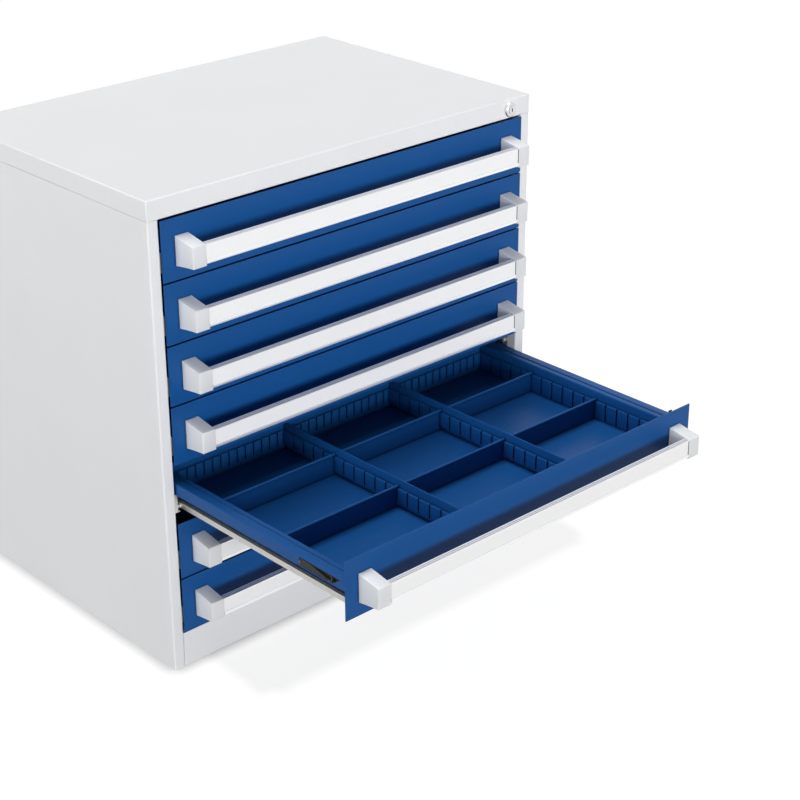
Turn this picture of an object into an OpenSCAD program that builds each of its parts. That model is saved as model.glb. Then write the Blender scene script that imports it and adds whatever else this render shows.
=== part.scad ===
// Steel drawer cabinet with seven drawers on roller slides, one of them standing open and divided.
// Millimetres. The origin is on the floor under the middle of the cabinet, +Y points to the back, +Z up.

/* [Cabinet] */
// Width over the side panels
cabinet_w = 800; // [600:10:1200]
// Depth from the posts' front faces to the back panel
cabinet_d = 535; // [525:5:700]
// Height from the floor to the top
cabinet_h = 800; // [760:10:1100]
// Thickness of the body's sheet steel
body_sheet = 1.5; // [1.2:0.1:2]
// Width of the front and back posts, folded from the side panels
post_w = 20; // [18:1:30]
// Depth of the posts' inner fold
post_d = 20; // [15:1:22]
// Height of the top cover's skirt
cover_h = 32.5; // [30:0.5:45]
// Height of the base below the lowest drawer
base_h = 61; // [40:1:100]
// Depth of the folds along the base and the cover
fold_w = 12; // [8:1:16]

/* [Drawer fronts] */
// Gap above and below each front
front_gap = 2.4; // [2:0.1:4]
// Gap between a front and the posts
side_gap = 1; // [0.6:0.1:2]
// Thickness of the front sheet
front_t = 2; // [1.2:0.1:2.5]
// How far the closed fronts stand proud of the posts
front_proud = 3; // [0:0.5:4]
// How far the open drawer stands out
drawer_out = 397; // [0:1:400]

/* [Drawer tray] */
// Thickness of the tray's sheet steel
tray_sheet = 1; // [0.8:0.1:1.5]
// Space for the slides between the post's edge and the tray's wall
slide_space = 27; // [26:0.5:40]
// Height of the tray's underside above the front's lower edge
tray_z = 17; // [16:0.5:20]
// Height of the tray's rim above the front's lower edge
rim_z = 68.5; // [66:0.5:76]
// Depth of the tray from the front's face to the face of its slotted back
tray_len = 457; // [440:1:470]
// Gap between the post's edge and the rim's outer lip
rim_gap = 2.2; // [2:0.1:3]
// Width of the raised outer band of the rim
band_w = 15.3; // [10:0.1:18]
// Height of the raised band over the rim's inner part
band_step = 1; // [0.8:0.1:1.5]
// Height of the lip that hangs from the rim's outer edge
lip_h = 20; // [10:0.5:20]
// Width of the rim behind the tray's back wall
back_rim_w = 19; // [15:1:30]
// Height of the lip along the back of the rim
back_lip_h = 10; // [6:0.5:20]

/* [Slotted walls] */
// Height of the slotted walls' ledge above the front's lower edge
ledge_z = 51; // [45:0.5:56]
// Width of the ledge between the outer wall and the slotted wall
ledge_w = 4; // [3.5:0.1:6]
// Width of a slot
slot_w = 2.4; // [2:0.1:3]
// Distance between slots along the sides
side_pitch = 25; // [20:0.5:30]
// Distance between slots along the front and the back
end_pitch = 17; // [15:0.5:20]
// First side slot, behind the front's face
first_slot = 29.5; // [20:0.5:35]

/* [Dividers] */
// Overall width of a partition
partition_w = 10; // [9:0.5:14]
// Thickness of a partition's upright sheet
partition_t = 1.6; // [1.2:0.1:1.8]
// Height of a partition's upper edge above the front's lower edge
ridge_z = 66; // [62:0.5:68]
// Height of the lower edge of a partition's slotted sides
skirt_z = 25; // [21:0.5:30]
// Thickness of a cross divider
divider_t = 1; // [0.8:0.1:1.5]
// Diameter of the rolled upper edge of a cross divider
bead_d = 4.8; // [3:0.1:6]

/* [Handles] */
// Distance from a post's edge to the handle's nearer cap
handle_side = 25.5; // [20:0.5:60]
// How far the handle stands out
handle_out = 43; // [35:1:55]
// Width of an end cap
cap_w = 25; // [20:0.5:40]
// How far an end cap reaches below the bar at its front
cap_below = 3.2; // [1:0.1:6]
// How far an end cap reaches above the bar at its front
cap_above = 0.3; // [0.2:0.1:3]
// How much lower an end cap is where it meets the drawer's front
cap_flare_low = 5.9; // [0:0.1:10]
// How much higher an end cap is where it meets the drawer's front
cap_flare_high = 7.7; // [0:0.1:12]
// Height of the bar's lower edge above the front's lower edge
bar_z = 31.6; // [24:0.2:40]
// Height of the handle bar
bar_h = 31; // [24:0.5:34]
// Depth of the handle bar from front to back
bar_d = 11; // [9:0.5:14]
// Wall of the handle bar
bar_wall = 2; // [1.5:0.1:2.5]
// Height of the raised lip below the bar's label field
lower_lip_h = 5.3; // [3:0.1:8]
// Height of the raised lip above the bar's label field
upper_lip_h = 1.2; // [1:0.1:2]
// Depth of the label field
label_depth = 0.8; // [0.4:0.1:0.8]

/* [Slides] */
// Thickness of the slides' sheet steel
rail_sheet = 1.5; // [1.2:0.1:1.5]
// Width of a cabinet rail's flanges
cabinet_rail_w = 10; // [8:0.5:10.5]
// Gap between a cabinet rail and the tray's lip above it
cabinet_rail_gap = 0.5; // [0.4:0.1:2]
// Width of the flange that faces forward at a cabinet rail's end
nose_w = 6; // [4:0.5:9]
// Lower edge of a cabinet rail above the front's lower edge
cabinet_rail_z = 16; // [14:0.5:17]
// Distance from the post's edge to the drawer rail's lower face
runner_x = 16; // [15.5:0.1:18]
// Gap between a cabinet rail's flanges and the drawer rail's running flange
runner_gap = 1.5; // [1:0.1:2]
// Height of the drawer rail's web above its running flange
runner_web_h = 5; // [3:0.5:8]
// Height of the drawer rail's running face above the front's lower edge
running_z = 30; // [29:0.5:31]
// Diameter of a roller
roller_d = 12; // [10:0.2:12.4]
// Distance of a roller's axle behind the posts' front faces
roller_y = 9; // [8.8:0.1:12]
// Diameter of a roller's axle
axle_d = 5; // [4:0.5:6]
// Clearance between moving pieces
clearance = 0.3; // [0.2:0.05:0.5]

/* [Lock] */
// Distance from the right post's edge to the lock's axis
lock_x = 28; // [26:0.5:30]
// Depth of the lock's axis below the cabinet's top
lock_down = 17.5; // [17:0.5:18]
// Diameter of the lock's bezel
bezel_d = 26; // [22:0.5:28]
// How far the bezel stands out
bezel_out = 6; // [4:0.5:8]
// Diameter of the lock's plug
plug_d = 14; // [12:0.5:15]
// Drop of the locking bar
lock_drop = 8; // [7.5:0.5:8]

/* [Hidden] */
$fn = 48;
drawer_count = 7;
// drawers counted from the top
open_drawer = 5;

// Overrun of a cut past the face that it leaves
over = 0.5;
// Half the width of the opening between the posts
side_x = cabinet_w / 2 - post_w;
front_y = -cabinet_d / 2;
back_y = cabinet_d / 2;
opening_h = cabinet_h - cover_h - base_h;
front_h = (opening_h - (drawer_count + 1) * front_gap) / drawer_count;
front_w = 2 * (side_x - side_gap);

// Tray, from the outside in
wall_x = side_x - slide_space;
band_x = wall_x - tray_sheet;
slotted_x = band_x - ledge_w;
rim_x = side_x - rim_gap;
rim_end = tray_len + ledge_w + back_rim_w;
floor_z = tray_z + tray_sheet;
slotted_front_y = front_t + tray_sheet + ledge_w;
slot_count = floor((tray_len - first_slot) / side_pitch - 1 / 2) + 1;
end_slot_count = floor(2 * slotted_x / end_pitch - 1 / 2);
// Solid foot left under the slots of the side walls and of the end walls
side_slot_foot = 1.2;
end_slot_foot = 8;
// Solid strip left behind the slots in a ledge
ledge_spine = 1.2;

// Cut in the left lip for the catch, measured from the front's face
catch_from = 12;
catch_to = 102;
// The cut's slanting ends reach further back at its lower edge
catch_front_slant = 17;
catch_rear_slant = 5;
// Strips of the lip left below and above the cut
catch_low = 2.3;
catch_high = 2.5;
catch_inset = 0.8;
catch_wall = 2;
catch_pocket = 4;
// Lever of the catch: a toe, a slope up to the knee, and a heel
lever_t = 4;
lever_toe = 28;
lever_toe_len = 5;
lever_toe_h = 2.5;
lever_knee = 65;
lever_knee_h = 10;
lever_heel_h = 11.5;
latch_post = 18;
latch_post_w = 2;

// Stud on the right rim that the locking bar catches
// measured from the posts' front faces
stud_from = 31;
stud_t = 2;
stud_w = 7;
stud_h = 7;
stud_inset = 1.5;

// Rear glide of a drawer rail, and the height of its arm on the running flange
glide_len = 30;
glide_t = 5;
glide_arm_h = 4;
rail_end_gap = 5;

// Axle head that keeps a roller on, and the collar behind the roller
axle_head_t = 0.8;
axle_head_d = 8;
collar_d = 9;

// Both rails' faces, measured inward from the post's edge
cabinet_rail_top = rim_z - lip_h - cabinet_rail_gap;
runner_edge_x = cabinet_rail_w + runner_gap;
axle_end_x = runner_x - clearance;
roller_x0 = cabinet_rail_w + clearance;
roller_x1 = axle_end_x - axle_head_t - clearance;
axle_z = running_z - clearance - roller_d / 2;

// Columns and rows of the divided drawer, counted in slots
partition_slots = [14, 28];
divider_slots = [6, 12];
partition_xs = [for (s = partition_slots) -slotted_x + s * end_pitch];
divider_ys = [for (s = divider_slots) first_slot + s * side_pitch];
// How far a sheet reaches into a slot
tongue = 2;
foot_gap = 0.3;
tongue_z = skirt_z + side_slot_foot + foot_gap;
bead_gap = 0.2;
bead_end_gap = 0.5;
bead_axis_z = ledge_z + bead_gap + bead_d / 2;

// Handle
cap_pocket = 8;
pocket_gap = 0.2;
bar_grip_h = 5;
bar_foot_w = 5;
groove_w = 1;
groove_depth = 0.5;
groove_pitch = 2.6;
groove_count = 3;
bar_top = bar_z + bar_h;
cap_front_low = bar_z - cap_below;
cap_front_high = bar_top + cap_above;
cap_left_x = -side_x + handle_side;
cap_right_x = side_x - handle_side - cap_w;

// Lock
lock_z = cabinet_h - lock_down;
lock_axis_x = side_x - lock_x;
barrel_d = 19;
barrel_len = 22;
bezel_face_d = 17;
plug_out = 0.6;
keyway_w = 2.2;
keyway_h = 6.2;
keyway_depth = 10;
crank_t = 2.5;
crank_w = 8;
// The crank's pin drops the bar by its own radius in a quarter turn
crank_r = lock_drop;
crank_pin_d = 4;
crank_pin_len = 4;
lock_bar_t = 5;
lock_bar_y = 22;
lock_bar_w = 12;
tab_t = 6;
tab_reach = 9;
tab_gap = 1;
follower_t = 2;
follower_edge = 2.5;
bar_foot = 8;
// A turning pin runs ahead of a steadily falling bar by up to this share of the drop
pin_lead_share = 0.22;

// Back panel's two pressed ribs
rib_w = 60;
rib_depth = 3;

DRAWER_PARTS = ["front", "tray", "handle_bar", "handle_caps", "rails", "fittings", "rollers"];

// Height of a drawer front's lower edge, counted from the top drawer
function drawer_z(i) = base_h + front_gap + (drawer_count - i) * (front_h + front_gap);
// How far a drawer stands out
function drawer_shift(i) = i == open_drawer ? drawer_out : 0;

// Outline of a strip with slots cut into its far edge
function comb(len, width, first, pitch, count, depth) = concat(
    [[0, 0], [len, 0], [len, width]],
    [for (i = [count - 1:-1:0]) let (c = first + i * pitch)
        each [[c + slot_w / 2, width], [c + slot_w / 2, width - depth],
              [c - slot_w / 2, width - depth], [c - slot_w / 2, width]]],
    [[0, width]]
);

module block(from, to) {
    translate(from)
        cube(to - from);
}

// A block on the left of the middle plane, between two distances inward from the post's edge
module left_block(d0, d1, y0, y1, z0, z1) {
    block([-side_x + d0, y0, z0], [-side_x + d1, y1, z1]);
}

// Outline in distances inward from the post's edge and heights, drawn out along the depth on the left
module left_profile(points, y0, y1) {
    translate([-side_x, y1, 0])
        rotate([90, 0, 0])
            linear_extrude(y1 - y0)
                polygon(points);
}

// A rod on a roller's axis, on the left, between two distances inward from the post's edge
module left_rod(d, d0, d1) {
    rod_x(d, -side_x + d0, -side_x + d1, roller_y, axle_z);
}

module both_sides() {
    children();
    mirror([1, 0, 0])
        children();
}

// Moves a drawer's piece from the drawer's own frame to its place in the cabinet
module in_drawer(i) {
    translate([0, front_y - front_proud - drawer_shift(i), drawer_z(i)])
        children();
}

// Moves a fixed piece that belongs to a drawer's bay
module in_bay(i) {
    translate([0, front_y, drawer_z(i)])
        children();
}

module rod_x(d, from, to, y, z) {
    translate([from, y, z])
        rotate([0, 90, 0])
            cylinder(d = d, h = to - from);
}

module rod_y(d, x, from, to, z) {
    translate([x, from, z])
        rotate([-90, 0, 0])
            cylinder(d = d, h = to - from);
}

// Body

module side_panel() {
    w = cabinet_w / 2;
    top = cabinet_h - cover_h;
    color("gainsboro") {
        block([-w, front_y, 0], [-w + body_sheet, back_y, top]);
        for (y = [front_y, back_y - body_sheet])
            block([-w, y, 0], [-side_x, y + body_sheet, top]);
        for (y = [front_y, back_y - post_d])
            block([-side_x - body_sheet, y, 0], [-side_x, y + post_d, top]);
    }
}

module side_panel_left() {
    side_panel();
}

module side_panel_right() {
    mirror([1, 0, 0])
        side_panel();
}

module back_panel() {
    top = cabinet_h - cover_h;
    color("gainsboro")
        difference() {
            union() {
                block([-side_x, back_y - body_sheet, base_h], [side_x, back_y, top]);
                for (s = [-1, 1])
                    translate([s * side_x / 2, back_y - body_sheet, base_h + fold_w])
                        block([-rib_w / 2, -rib_depth, 0], [rib_w / 2, 0, opening_h - 2 * fold_w]);
            }
            for (s = [-1, 1])
                translate([s * side_x / 2, back_y - body_sheet, base_h + fold_w])
                    block([body_sheet - rib_w / 2, body_sheet - rib_depth, body_sheet],
                          [rib_w / 2 - body_sheet, body_sheet + over, opening_h - 2 * fold_w - body_sheet]);
        }
}

module top_cover() {
    w = cabinet_w / 2;
    low = cabinet_h - cover_h;
    color("whitesmoke")
        difference() {
            block([-w, front_y, low], [w, back_y, cabinet_h]);
            block([body_sheet - w, front_y + body_sheet, low + body_sheet],
                  [w - body_sheet, back_y - body_sheet, cabinet_h - body_sheet]);
            block([fold_w - w, front_y + fold_w, low - over],
                  [w - fold_w, back_y - fold_w, low + body_sheet + over]);
            rod_y(barrel_d + 2 * clearance, lock_axis_x, front_y - over,
                  front_y + body_sheet + over, lock_z);
        }
}

module base_frame() {
    color("gainsboro") {
        block([-side_x, front_y, 0], [side_x, back_y, body_sheet]);
        for (y = [front_y, back_y - body_sheet])
            block([-side_x, y, 0], [side_x, y + body_sheet, base_h]);
        for (y = [front_y, back_y - fold_w])
            block([-side_x, y, base_h - body_sheet], [side_x, y + fold_w, base_h]);
    }
}

// Slides

// Rail on the posts: a channel open to the middle, with an axle at its front
module cabinet_rail() {
    z0 = cabinet_rail_z;
    z1 = cabinet_rail_top;
    w = cabinet_rail_w;
    s = rail_sheet;
    y0 = front_t + 2 * clearance;
    left_profile(
        [[0, z0], [w, z0], [w, z0 + s], [s, z0 + s], [s, z1 - s], [w, z1 - s], [w, z1], [0, z1]],
        y0, cabinet_d - rail_end_gap);
    left_block(0, nose_w, y0, y0 + s, z0, z1);
    left_rod(axle_d, s / 2, axle_end_x);
    left_rod(axle_head_d, roller_x1 + clearance, axle_end_x);
    left_rod(collar_d, s / 2, cabinet_rail_w);
}

module cabinet_rails() {
    color("silver")
        for (i = [1:drawer_count])
            in_bay(i)
                both_sides()
                    cabinet_rail();
}

module roller() {
    difference() {
        left_rod(roller_d, roller_x0, roller_x1);
        left_rod(axle_d + 2 * clearance, roller_x0 - over, roller_x1 + over);
    }
}

module drawer_rollers(i) {
    color("white")
        in_bay(i)
            both_sides()
                roller();
}

// Rail on the tray's wall: a channel whose outer side folds over into the running flange
module drawer_rail() {
    s = rail_sheet;
    left_profile(
        [[slide_space, floor_z + s], [runner_x + s, floor_z + s], [runner_x + s, running_z + s],
         [runner_edge_x, running_z + s], [runner_edge_x, running_z], [runner_x, running_z],
         [runner_x, floor_z], [slide_space, floor_z]],
        front_t, tray_len);
    left_block(slide_space - s, slide_space, front_t, tray_len, floor_z, running_z + s + runner_web_h);
}

module drawer_rails(i) {
    color("silver")
        in_drawer(i)
            both_sides()
                drawer_rail();
}

// Glide that runs in the cabinet rail's channel, held by an arm on the running flange
module rear_glide() {
    low = cabinet_rail_z + rail_sheet + clearance;
    high = cabinet_rail_top - rail_sheet - clearance;
    y1 = tray_len - rail_sheet;
    left_block(cabinet_rail_w - glide_t, cabinet_rail_w, y1 - glide_len, y1, low, high);
    arm_z = running_z + rail_sheet;
    left_block(cabinet_rail_w, runner_x + rail_sheet, y1 - glide_len, y1, arm_z, arm_z + glide_arm_h);
}

// Catch behind the left lip: a housing on the tray's wall with a sloping lever and a post
module catch() {
    lip_x = rim_gap + tray_sheet + clearance;
    y0 = catch_from + catch_inset;
    y1 = catch_to - catch_inset;
    low = rim_z - lip_h + catch_low + catch_inset;
    high = rim_z - band_step - tray_sheet - catch_high - catch_inset;
    difference() {
        left_block(lip_x, slide_space, y0, y1, low, high);
        left_block(lip_x - over, lip_x + catch_pocket, y0 + catch_wall, y1 - catch_wall,
                   low + catch_wall, high - catch_wall);
    }
    translate([-side_x + rim_gap + clearance, y0, low])
        rotate([90, 0, 90])
            linear_extrude(lever_t)
                polygon([[y1 - y0, 0], [y1 - y0, lever_heel_h], [lever_knee, lever_knee_h],
                         [lever_toe + lever_toe_len, lever_toe_h], [lever_toe, 0]]);
    left_block(rim_gap + clearance, lip_x + catch_pocket, y0 + latch_post, y0 + latch_post + latch_post_w,
               low, high);
}

module drawer_fittings(i) {
    color("dimgray")
        in_drawer(i) {
            both_sides()
                rear_glide();
            catch();
        }
}

// Drawer

module drawer_front(i) {
    color("royalblue")
        in_drawer(i)
            block([-front_w / 2, 0, 0], [front_w / 2, front_t, front_h]);
}

// Slotted wall with its ledge, along +X, facing -Y, standing on the tray's floor
module slotted_wall(len, first, pitch, count, foot) {
    h = ledge_z - floor_z;
    translate([0, tray_sheet, floor_z])
        rotate([90, 0, 0])
            linear_extrude(tray_sheet)
                polygon(comb(len, h, first, pitch, count, h - foot));
    translate([0, ledge_w, ledge_z - tray_sheet])
        mirror([0, 1, 0])
            linear_extrude(tray_sheet)
                polygon(comb(len, ledge_w, first, pitch, count, ledge_w - ledge_spine));
}

// Cut through the left lip between two heights, with slanting ends
module catch_cut(low, high) {
    translate([-side_x + rim_gap - over, 0, 0])
        rotate([90, 0, 90])
            linear_extrude(tray_sheet + 2 * over)
                polygon([[catch_from + catch_front_slant, low], [catch_to + catch_rear_slant, low],
                         [catch_to, high], [catch_from, high]]);
}

module drawer_tray(i) {
    rim_top = rim_z - band_step;
    wall_top = rim_top - tray_sheet;
    back_wall = tray_len + ledge_w;
    lip_low = rim_z - lip_h;
    band_end = rim_x - band_w;
    side_len = tray_len - slotted_front_y;
    stud_y = stud_from + front_proud;
    color("mediumblue")
        in_drawer(i)
            difference() {
                union() {
                    block([-wall_x, front_t, tray_z], [wall_x, back_wall + tray_sheet, floor_z]);
                    both_sides()
                        block([-wall_x, front_t, floor_z], [-band_x, back_wall + tray_sheet, wall_top]);
                    block([-band_x, front_t, floor_z], [band_x, front_t + tray_sheet, wall_top]);
                    block([-band_x, back_wall, floor_z], [band_x, back_wall + tray_sheet, wall_top]);
                    difference() {
                        block([-rim_x, front_t, wall_top], [rim_x, rim_end, rim_top]);
                        block([-band_x, front_t - over, wall_top - over],
                              [band_x, back_wall, rim_top + over]);
                    }
                    block([-rim_x, rim_end - tray_sheet, rim_z - back_lip_h], [rim_x, rim_end, rim_top]);
                    both_sides() {
                        block([-rim_x, front_t, rim_top], [-band_end, rim_end, rim_z]);
                        block([-rim_x, front_t, lip_low], [tray_sheet - rim_x, rim_end, rim_top]);
                        translate([-slotted_x, slotted_front_y, 0])
                            rotate([0, 0, 90])
                                slotted_wall(side_len, first_slot - slotted_front_y, side_pitch, slot_count,
                                             side_slot_foot);
                    }
                    translate([-band_x, tray_len, 0])
                        slotted_wall(2 * band_x, ledge_w + end_pitch, end_pitch, end_slot_count,
                                     end_slot_foot);
                    translate([-band_x, slotted_front_y, 0])
                        mirror([0, 1, 0])
                            slotted_wall(2 * band_x, ledge_w + end_pitch, end_pitch, end_slot_count,
                                         end_slot_foot);
                    block([rim_x - stud_inset - stud_w, stud_y, rim_z],
                          [rim_x - stud_inset, stud_y + stud_t, rim_z + stud_h]);
                }
                catch_cut(lip_low + catch_low, wall_top - catch_high);
            }
}

// End cap, flaring towards the drawer's front
module cap(x) {
    translate([x, 0, 0])
        rotate([90, 0, 90])
            linear_extrude(cap_w)
                polygon([[0, cap_front_low - cap_flare_low], [0, cap_front_high + cap_flare_high],
                         [-handle_out, cap_front_high], [-handle_out, cap_front_low]]);
}

// The caps' pockets take the bar's ends and keep a skin in front of them
module drawer_handle_caps(i) {
    pocket_y = bar_wall - handle_out;
    color("lightgray")
        in_drawer(i)
            difference() {
                union() {
                    cap(cap_left_x);
                    cap(cap_right_x);
                }
                block([cap_left_x + cap_w - cap_pocket, pocket_y, bar_z - pocket_gap],
                      [cap_right_x + cap_pocket, bar_d - handle_out + pocket_gap, bar_top + pocket_gap]);
            }
}

// Extruded bar: a grooved top flange with a grip lip, a front wall with a label field, a foot
module drawer_handle_bar(i) {
    x0 = cap_left_x + cap_w - cap_pocket + pocket_gap;
    x1 = cap_right_x + cap_pocket - pocket_gap;
    y0 = -handle_out;
    y1 = bar_d - handle_out;
    field_y = y0 + label_depth;
    wall_y = field_y + bar_wall;
    under = bar_top - bar_wall;
    grip = bar_top - bar_grip_h;
    groove_z = bar_top - groove_depth;
    half = groove_w / 2;
    back_points = [
        [y0, bar_z], [y0 + bar_foot_w, bar_z], [y0 + bar_foot_w, bar_z + bar_wall],
        [wall_y, bar_z + bar_wall], [wall_y, under], [y1 - bar_wall, under],
        [y1 - bar_wall, grip], [y1, grip], [y1, bar_top]
    ];
    groove_points = [for (g = [1:groove_count]) let (c = y1 - g * groove_pitch)
        each [[c + half, bar_top], [c + half, groove_z], [c - half, groove_z], [c - half, bar_top]]];
    front_points = [
        [y0, bar_top], [y0, bar_top - upper_lip_h], [field_y, bar_top - upper_lip_h],
        [field_y, bar_z + lower_lip_h], [y0, bar_z + lower_lip_h]
    ];
    color("white")
        in_drawer(i)
            difference() {
                translate([x0, 0, 0])
                    rotate([90, 0, 90])
                        linear_extrude(x1 - x0)
                            polygon(concat(back_points, groove_points, front_points));
                // the ends step back to slip behind the caps' front skin
                for (x = [x0 - over, x1 - cap_pocket])
                    block([x, y0 - over, bar_z - over],
                          [x + cap_pocket + over, y0 + bar_wall + pocket_gap, bar_top + over]);
            }
}

// Dividers of the open drawer

module partition() {
    y0 = slotted_front_y + foot_gap;
    y1 = tray_len - foot_gap;
    half = partition_w / 2;
    h = ledge_z - skirt_z;
    first = first_slot - y0;
    low = floor_z + foot_gap;
    // upright sheet with a tongue at each end that drops into the end walls' slots
    block([-partition_t / 2, y0, low], [partition_t / 2, y1, ridge_z]);
    block([-partition_t / 2, y0 - tongue, floor_z + end_slot_foot + foot_gap],
          [partition_t / 2, y1 + tongue, ledge_z]);
    both_sides() {
        translate([-half, y0, skirt_z])
            rotate([90, 0, 90])
                linear_extrude(tray_sheet)
                    polygon(comb(y1 - y0, h, first, side_pitch, slot_count, h - side_slot_foot));
        translate([-half, y0, ledge_z - tray_sheet])
            rotate([0, 0, 90])
                translate([0, -(half - partition_t / 2), 0])
                    linear_extrude(tray_sheet)
                        polygon(comb(y1 - y0, half - partition_t / 2, first, side_pitch, slot_count,
                                     half - partition_t / 2 - ledge_spine));
    }
}

module drawer_partitions(i) {
    color("mediumblue")
        in_drawer(i)
            for (x = partition_xs)
                translate([x, 0, 0])
                    partition();
}

// One divider: its ends slip into the slots of the faces at x0 and x1, its rolled edge lies on the ledges
module divider(x0, x1, bead_x0, bead_x1) {
    half = divider_t / 2;
    block([x0 + foot_gap, -half, floor_z + foot_gap], [x1 - foot_gap, half, bead_axis_z]);
    block([x0 - tongue, -half, tongue_z], [x1 + tongue, half, bead_axis_z]);
    rod_x(bead_d, bead_x0, bead_x1, 0, bead_axis_z);
}

module drawer_dividers(i) {
    half = partition_w / 2;
    ridge = partition_t / 2 + bead_end_gap;
    edges = concat([-slotted_x], [for (x = partition_xs) each [x - half, x + half]], [slotted_x]);
    beads = concat([bead_end_gap - band_x], [for (x = partition_xs) each [x - ridge, x + ridge]],
                   [band_x - bead_end_gap]);
    color("mediumblue")
        in_drawer(i)
            for (y = divider_ys)
                for (c = [0:len(partition_xs)])
                    translate([0, y, 0])
                        divider(edges[2 * c], edges[2 * c + 1], beads[2 * c], beads[2 * c + 1]);
}

// Lock

module lock_housing() {
    color("silver")
        difference() {
            union() {
                translate([lock_axis_x, front_y, lock_z])
                    rotate([90, 0, 0])
                        cylinder(d1 = bezel_d, d2 = bezel_face_d, h = bezel_out);
                rod_y(barrel_d, lock_axis_x, front_y, front_y + barrel_len, lock_z);
            }
            rod_y(plug_d + 2 * clearance, lock_axis_x, front_y - bezel_out - over,
                  front_y + barrel_len + over, lock_z);
        }
}

module lock_plug() {
    end_y = front_y + barrel_len + clearance;
    color("silver") {
        difference() {
            rod_y(plug_d, lock_axis_x, front_y - bezel_out - plug_out, end_y, lock_z);
            translate([lock_axis_x, front_y - bezel_out - plug_out, lock_z])
                block([-keyway_w / 2, -over, -keyway_h / 2], [keyway_w / 2, keyway_depth, keyway_h / 2]);
        }
        translate([lock_axis_x, end_y, lock_z])
            block([-crank_w / 2, 0, -crank_w / 2], [crank_w / 2, crank_t, crank_r]);
        rod_y(crank_w, lock_axis_x, end_y, end_y + crank_t, lock_z + crank_r);
        rod_y(crank_pin_d, lock_axis_x, end_y, end_y + crank_t + crank_pin_len, lock_z + crank_r);
    }
}

// Bar behind the right post: a tab over each drawer's stud and a slotted arm on the lock's crank
module lock_bar() {
    x0 = side_x + body_sheet + clearance;
    x1 = x0 + lock_bar_t;
    y0 = front_y + lock_bar_y;
    tab_h = stud_h - tab_gap;
    arm_y = front_y + barrel_len + crank_t + 3 * clearance;
    pin_z = lock_z + crank_r;
    pin_r = crank_pin_d / 2 + clearance;
    lead = pin_lead_share * lock_drop;
    arm_z0 = pin_z - pin_r - follower_edge;
    arm_z1 = pin_z + pin_r + lead + follower_edge;
    arm_x0 = lock_axis_x - pin_r - follower_edge;
    color("silver")
        difference() {
            union() {
                block([x0, y0, base_h + bar_foot + lock_drop], [x1, y0 + lock_bar_w, arm_z1]);
                block([arm_x0, arm_y, arm_z0], [x1, arm_y + follower_t, arm_z1]);
                for (i = [1:drawer_count])
                    translate([0, 0, drawer_z(i) + rim_z + tab_gap + lock_drop])
                        block([x0 - tab_reach, y0, 0], [x0, y0 + tab_t, tab_h]);
            }
            block([lock_axis_x - pin_r, arm_y - over, pin_z - pin_r],
                  [lock_axis_x + crank_r + pin_r, arm_y + follower_t + over, pin_z + pin_r + lead]);
        }
}

side_panel_left();
side_panel_right();
back_panel();
top_cover();
base_frame();
cabinet_rails();
lock_housing();
lock_plug();
lock_bar();
for (i = [1:drawer_count]) {
    drawer_front(i);
    drawer_tray(i);
    drawer_handle_bar(i);
    drawer_handle_caps(i);
    drawer_rails(i);
    drawer_fittings(i);
    drawer_rollers(i);
}
drawer_partitions(open_drawer);
drawer_dividers(open_drawer);
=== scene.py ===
import math

import bmesh
import bpy
from bpy.props import FloatProperty, FloatVectorProperty, IntProperty, PointerProperty
from mathutils import Matrix, Vector


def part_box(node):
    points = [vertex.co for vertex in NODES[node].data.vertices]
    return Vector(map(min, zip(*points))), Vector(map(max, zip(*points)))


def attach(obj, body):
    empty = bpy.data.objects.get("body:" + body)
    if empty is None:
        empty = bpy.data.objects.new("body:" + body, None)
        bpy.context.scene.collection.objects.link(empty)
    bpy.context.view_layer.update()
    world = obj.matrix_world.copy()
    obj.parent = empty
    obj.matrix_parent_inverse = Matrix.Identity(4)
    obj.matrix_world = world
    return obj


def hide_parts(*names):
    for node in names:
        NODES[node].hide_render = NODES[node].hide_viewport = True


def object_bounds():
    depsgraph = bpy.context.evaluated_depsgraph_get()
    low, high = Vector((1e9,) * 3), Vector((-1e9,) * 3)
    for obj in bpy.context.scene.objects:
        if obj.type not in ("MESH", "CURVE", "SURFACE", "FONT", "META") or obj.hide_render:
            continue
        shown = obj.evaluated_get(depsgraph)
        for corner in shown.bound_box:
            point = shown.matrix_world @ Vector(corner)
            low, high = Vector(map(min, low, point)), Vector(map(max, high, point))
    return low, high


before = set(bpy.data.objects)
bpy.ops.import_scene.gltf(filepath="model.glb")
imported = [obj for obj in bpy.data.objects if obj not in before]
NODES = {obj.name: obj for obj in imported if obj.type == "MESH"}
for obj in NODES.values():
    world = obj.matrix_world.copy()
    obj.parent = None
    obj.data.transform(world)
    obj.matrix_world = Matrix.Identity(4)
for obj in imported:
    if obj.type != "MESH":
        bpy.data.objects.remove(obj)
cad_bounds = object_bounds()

bl_info = {
    "name": "Drawer cabinet",
    "version": (1, 0, 0),
    "blender": (4, 5, 0),
    "location": "View3D > Sidebar > Cabinet",
    "description": "Finishes a steel drawer cabinet: sheet metal, handles, slides and paint",
    "category": "Add Mesh",
}

MM = 0.001
DRAWERS = range(1, 8)
OPEN_DRAWER = 5


# Properties

def linear(code):
    """An sRGB colour such as "#1d4f91" as the linear values that Blender's sockets take."""
    values = [int(code[k:k + 2], 16) / 255 for k in (1, 3, 5)]
    return [v / 12.92 if v <= 0.04045 else ((v + 0.055) / 1.055) ** 2.4 for v in values]


def colour(name, description, code):
    """A property for a colour."""
    return FloatVectorProperty(name=name, description=description, subtype="COLOR", size=3,
                               min=0, max=1, default=linear(code))


def length(name, description, millimetres):
    """A property for a size."""
    return FloatProperty(name=name, description=description, unit="LENGTH", precision=4,
                         min=0, default=millimetres * MM)


def tilt(name, description, degrees):
    """A property for an angle."""
    return FloatProperty(name=name, description=description, subtype="ANGLE",
                         default=math.radians(degrees))


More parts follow.
